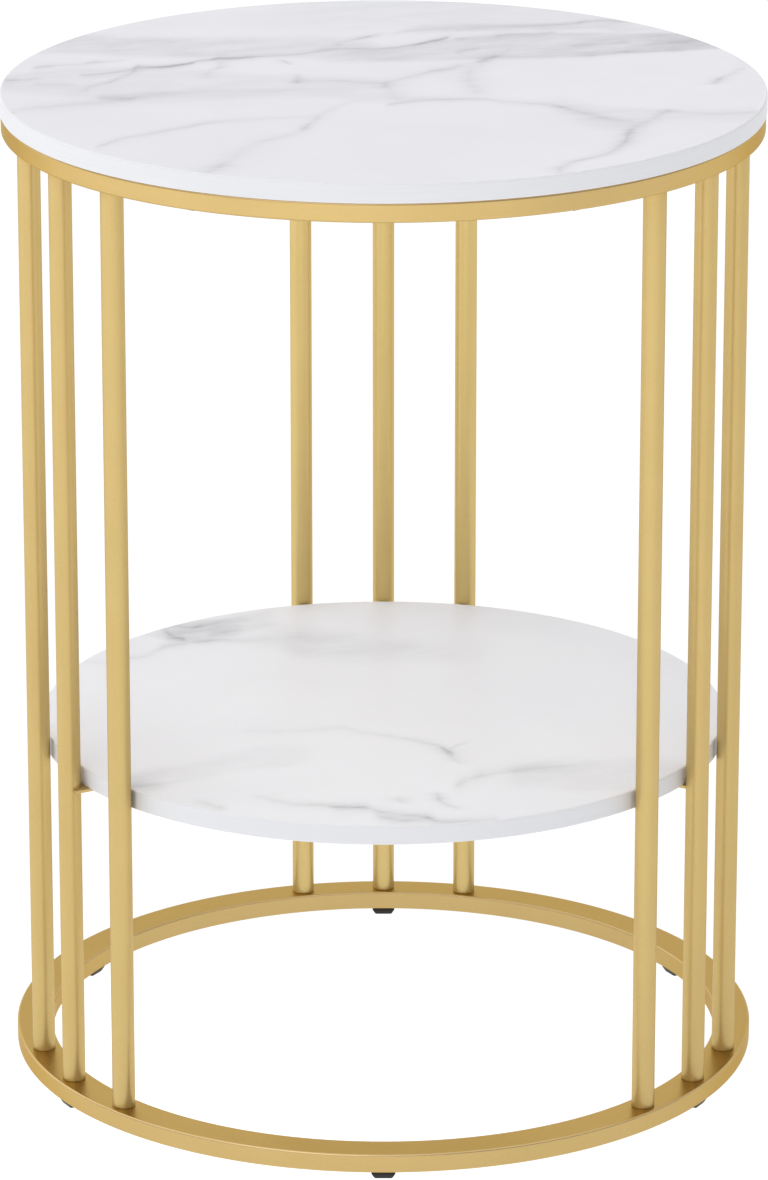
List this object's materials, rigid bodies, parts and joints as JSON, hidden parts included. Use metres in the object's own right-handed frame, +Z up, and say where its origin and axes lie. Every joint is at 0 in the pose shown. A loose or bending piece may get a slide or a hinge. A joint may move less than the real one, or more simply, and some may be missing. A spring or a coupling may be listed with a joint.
{
  "type": "tiered side table",
  "caption": "Round side table with a marble-pattern top and a lower shelf, held by two gold rings joined by groups of slim upright tubes.",
  "frame": {"origin": "on the floor under the middle of the table, in the plane of the glides' lower faces", "axes": "+Z up, -Y towards the front, so that one tube group is at the back (+Y) and the other two are at the front left and front right"},
  "size_m": [0.3999, 0.4, 0.533],
  "materials": {
    "marble_laminate": "white marble-pattern laminate on fibreboard, satin",
    "gold_steel": "satin gold coating on steel tube",
    "zinc_steel": "bright zinc plating",
    "black_glide": "fine moulded texture"
  },
  "bodies": {
    "root": {"top_board": "marble_laminate", "shelf_board": "marble_laminate", "top_ring": "gold_steel", "base_ring": "gold_steel", "tube_back_1": "gold_steel", "tube_back_2": "gold_steel", "tube_back_3": "gold_steel", "shelf_tab_back": "gold_steel", "tube_left_1": "gold_steel", "tube_left_2": "gold_steel", "tube_left_3": "gold_steel", "shelf_tab_left": "gold_steel", "tube_right_1": "gold_steel", "tube_right_2": "gold_steel", "tube_right_3": "gold_steel", "shelf_tab_right": "gold_steel", "tube_plugs_top": "zinc_steel", "tube_plugs_base": "zinc_steel", "tube_screws_top": "zinc_steel", "tube_screws_base": "zinc_steel", "board_screws": "zinc_steel", "shelf_screws": "zinc_steel", "foot_back": "black_glide", "foot_back_left": "black_glide", "foot_front_left": "black_glide", "foot_front": "black_glide", "foot_front_right": "black_glide", "foot_back_right": "black_glide"}
  },
  "joints": []
}
